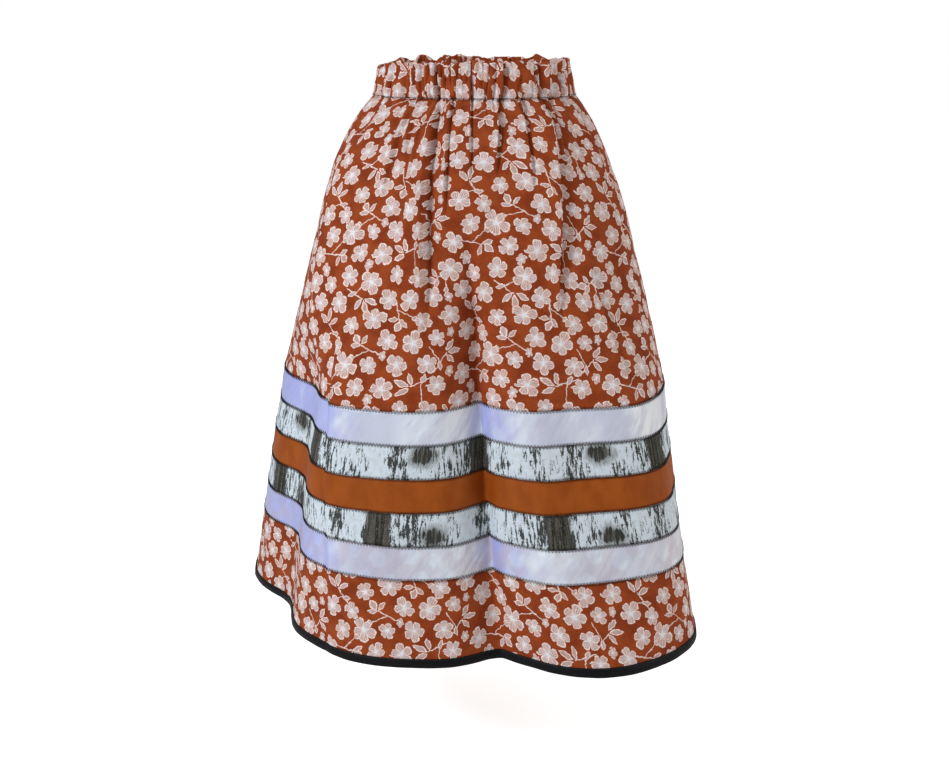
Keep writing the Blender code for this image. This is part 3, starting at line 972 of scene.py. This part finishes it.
satin, sheer_satin = satin_material("white satin", False), satin_material("white satin, sheer", True)
sateen = sateen_material()
birch_high_knots = birch_material("birch print cotton", -0.098, -0.014)
birch_low_knots = birch_material("birch print cotton, lower", 0.083, -0.036)
RIBBONS = (  # node, cloth, finish, and how far into its print it starts
    ("ribbon_1_satin", satin, "white_satin", 0.0),
    ("ribbon_2_birch", birch_high_knots, "birch_cotton", 0.080),
    ("ribbon_3_rust", sateen, "rust_sateen", 0.0),
    ("ribbon_4_birch", birch_low_knots, "birch_cotton", -0.083),
    ("ribbon_5_satin", sheer_satin, "white_satin", 0.53),
)
for number, (node, material, slot_name, shift) in enumerate(RIBBONS):
    top = RIBBON_TOP - RIBBON_DROP * number
    heights = np.linspace(top - 0.0003, top - RIBBON_DROP + 0.0003, RIBBON_ROWS + 1)
    base = cloth(all_round(RIBBON_COLUMNS), heights)
    share = np.linspace(0.0, 1.0, RIBBON_ROWS + 1)
    lift = RIBBON_LIFT - 0.0003 * (np.abs(share - 0.5) * 2.0) ** 8
    points = base + ways_out(base) * lift[:, None, None]
    along = lengths_along(points, True)
    drop = drops_down(points)
    down = np.repeat(-drop[:, None], RIBBON_COLUMNS + 1, 1)
    across = np.repeat(along.mean(axis=0)[None], RIBBON_ROWS + 1, 0) + shift
    piece = woven(node.replace("ribbon_", "band_"), points, True, across, down)
    piece.data.materials.append(material)
    thickened(piece, 0.0006)
    lay_out(piece, RIBBON_COLUMNS, RIBBON_ROWS, 12, 0.72)
    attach(piece, "root")
    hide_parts(node)

# --- hem binding ------------------------------------------------------------------------------------------
# Half-inch double-fold bias tape, black, folded over the raw hem all the way round. One line of stitching
# near its upper edge goes through both sides of it.

BINDING_COLUMNS = 600
hem_heights = np.array([HEM + BINDING_RISE, HEM + 0.0062, HEM])
hem_points = cloth(all_round(BINDING_COLUMNS), hem_heights)
hem_out = ways_out(hem_points)


def tape_material():
    material, shader, flow = new_material("black bias tape")
    place = cloth_place(flow)
    twill = noise_on(place, 1300.0, 1.0, stretch=(0.4, 1.0, 1.0))
    colour = mixed(twill.rise(0.35, 0.75), (0.0020, 0.0020, 0.003), (0.008, 0.008, 0.011))
    feed(shader, "Base Color", colour)
    feed(shader, "Roughness", twill * 0.15 + 0.45)
    fix(shader, Specular_IOR_Level=0.15)
    rumple = noise_on(place, 90.0, 2.0)
    feed(shader, "Normal", bumped(flow, twill, 0.00012, 0.5, bumped(flow, rumple, 0.0012, 0.5)))
    return material


BINDING_LIFT = 0.0016
binding_rows = [
    hem_points[0] + hem_out[0] * 0.0007,
    hem_points[0] + hem_out[0] * BINDING_LIFT - np.array([0.0, 0.0, 0.0012]),
    hem_points[1] + hem_out[1] * (BINDING_LIFT + 0.0005),
    hem_points[2] + hem_out[2] * (BINDING_LIFT + 0.0002),
]
for angle in (30.0, 60.0, 90.0, 120.0, 150.0):
    half = (BINDING_LIFT + COTTON + 0.0010) / 2.0
    middle = BINDING_LIFT - half
    ring = hem_points[2] + hem_out[2] * (middle + half * cos(radians(angle)))
    ring = ring - np.array([0.0, 0.0, 0.0016 * sin(radians(angle))])
    binding_rows.append(ring)
binding_rows += [
    hem_points[2] - hem_out[2] * (COTTON + 0.0010),
    hem_points[1] - hem_out[1] * (COTTON + 0.0012),
    hem_points[0] - hem_out[0] * (COTTON + 0.0009),
]
binding_points = np.array(binding_rows)
binding_along = lengths_along(binding_points, True)
binding_down = np.repeat(-drops_down(binding_points)[:, None], BINDING_COLUMNS + 1, 1)
binding = woven("bias_binding", binding_points, True, binding_along, binding_down)
binding.data.materials.append(tape_material())
thickened(binding, 0.0005)
lay_out(binding, BINDING_COLUMNS, len(binding_rows) - 1, 12, 0.72)
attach(binding, "root")
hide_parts("hem_binding")

# --- stitching --------------------------------------------------------------------------------------------
# Black thread: a close zigzag over each edge of the ribbons, a running stitch along the casing's foot, and a
# straight edge-stitch on the tape.

THREAD = 0.00052  # half its thickness, some four times a real thread's, so that the stitches show
BAND_COLUMNS = 2400


def thread_material():
    material, shader, flow = new_material("black thread")
    place = flow.node("ShaderNodeTexCoord", None, None, 3)
    colour = mixed(noise_on(place, 900.0, 1.0).rise(0.4, 0.7), (0.004, 0.004, 0.005), (0.016, 0.015, 0.017))
    feed(shader, "Base Color", colour)
    fix(shader, Roughness=0.5)
    return material


def band_about(height, reach):
    """A fine band of cloth to lay thread on, the ways out of it, and the length to each of its columns."""
    band = cloth(all_round(BAND_COLUMNS), [height + reach, height, height - reach])
    return band, ways_out(band), lengths_along(band, True)[1]


thread = thread_material()


def sewn(name, runs):
    """Threads as four-sided tubes, from runs of points and the way out at each."""
    points, faces = [], []
    for line, out in runs:
        ahead = np.gradient(line, axis=0)
        ahead /= np.linalg.norm(ahead, axis=1, keepdims=True)
        side = np.cross(ahead, out)
        first = len(points)
        for offset in (side, out, -side, -out):
            points.extend((line + offset * THREAD).tolist())
        count = len(line)
        for edge in range(4):
            this, following = first + edge * count, first + (edge + 1) % 4 * count
            for step in range(count - 1):
                faces.append((this + step, this + step + 1, following + step + 1, following + step))
        faces.append((first, first + count, first + 2 * count, first + 3 * count))
        last = first + count - 1
        faces.append((last, last + 3 * count, last + 2 * count, last + count))
    mesh = bpy.data.meshes.new(name)
    mesh.from_pydata(points, [], faces)
    mesh.shade_smooth()
    mesh.materials.append(thread)
    piece = bpy.data.objects.new(name, mesh)
    scene.collection.objects.link(piece)
    bpy.ops.object.select_all(action="DESELECT")
    bpy.context.view_layer.objects.active = piece
    piece.select_set(True)
    bpy.ops.object.mode_set(mode="EDIT")
    bpy.ops.mesh.select_all(action="SELECT")
    bpy.ops.mesh.normals_make_consistent(inside=False)
    bpy.ops.object.mode_set(mode="OBJECT")
    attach(piece, "root")


def read_band(band, column):
    """A row of points of a closed band at columns that need not be whole."""
    low = np.floor(column).astype(int)
    share = (column - low)[:, None]
    count = band.shape[0]
    return band[low % count] * (1 - share) + band[(low + 1) % count] * share


ZIGZAG_STEP = 0.00245
ZIGZAG_REACH = 0.0028
zigzags = []
for edge in range(6):
    height = RIBBON_TOP - RIBBON_DROP * edge
    band, out, around = band_about(height, ZIGZAG_REACH)
    stitches = 2 * round(around[-1] / ZIGZAG_STEP / 2)
    column = np.interp(np.linspace(0.0, around[-1], stitches, endpoint=False), around, np.arange(len(around)))
    upper = np.arange(stitches) % 2 == 0
    line = np.where(upper[:, None], read_band(band[0], column), read_band(band[2], column))
    ways = read_band(out[1], column)
    lift = np.where(upper, 0.0008 if edge == 0 else 0.0015, 0.0008 if edge == 5 else 0.0015)
    zigzags.append((line + ways * lift[:, None], ways))
sewn("ribbon_zigzag", zigzags)

STITCH = 0.0030


def straight_stitches(height, filled, bow, lift):
    """A run of stitches round the skirt at a height: how much of each step is filled, and how it bows out."""
    band, out, around = band_about(height, 0.001)
    stitches = []
    for number in range(int(around[-1] / STITCH)):
        ends = np.linspace(number, number + filled, 4) * STITCH
        column = np.interp(ends, around, np.arange(len(around)))
        ways = read_band(out[1], column)
        arch = np.array([-0.0002, bow, bow, -0.0002]) + lift
        stitches.append((read_band(band[1], column) + ways * arch[:, None], ways))
    return stitches


sewn("casing_stitching", straight_stitches(CASING_FOOT + 0.0012, 0.72, 0.0006, 0.0011))
sewn("binding_stitching", straight_stitches(HEM + BINDING_RISE - 0.0016, 0.75, 0.0003, BINDING_LIFT))
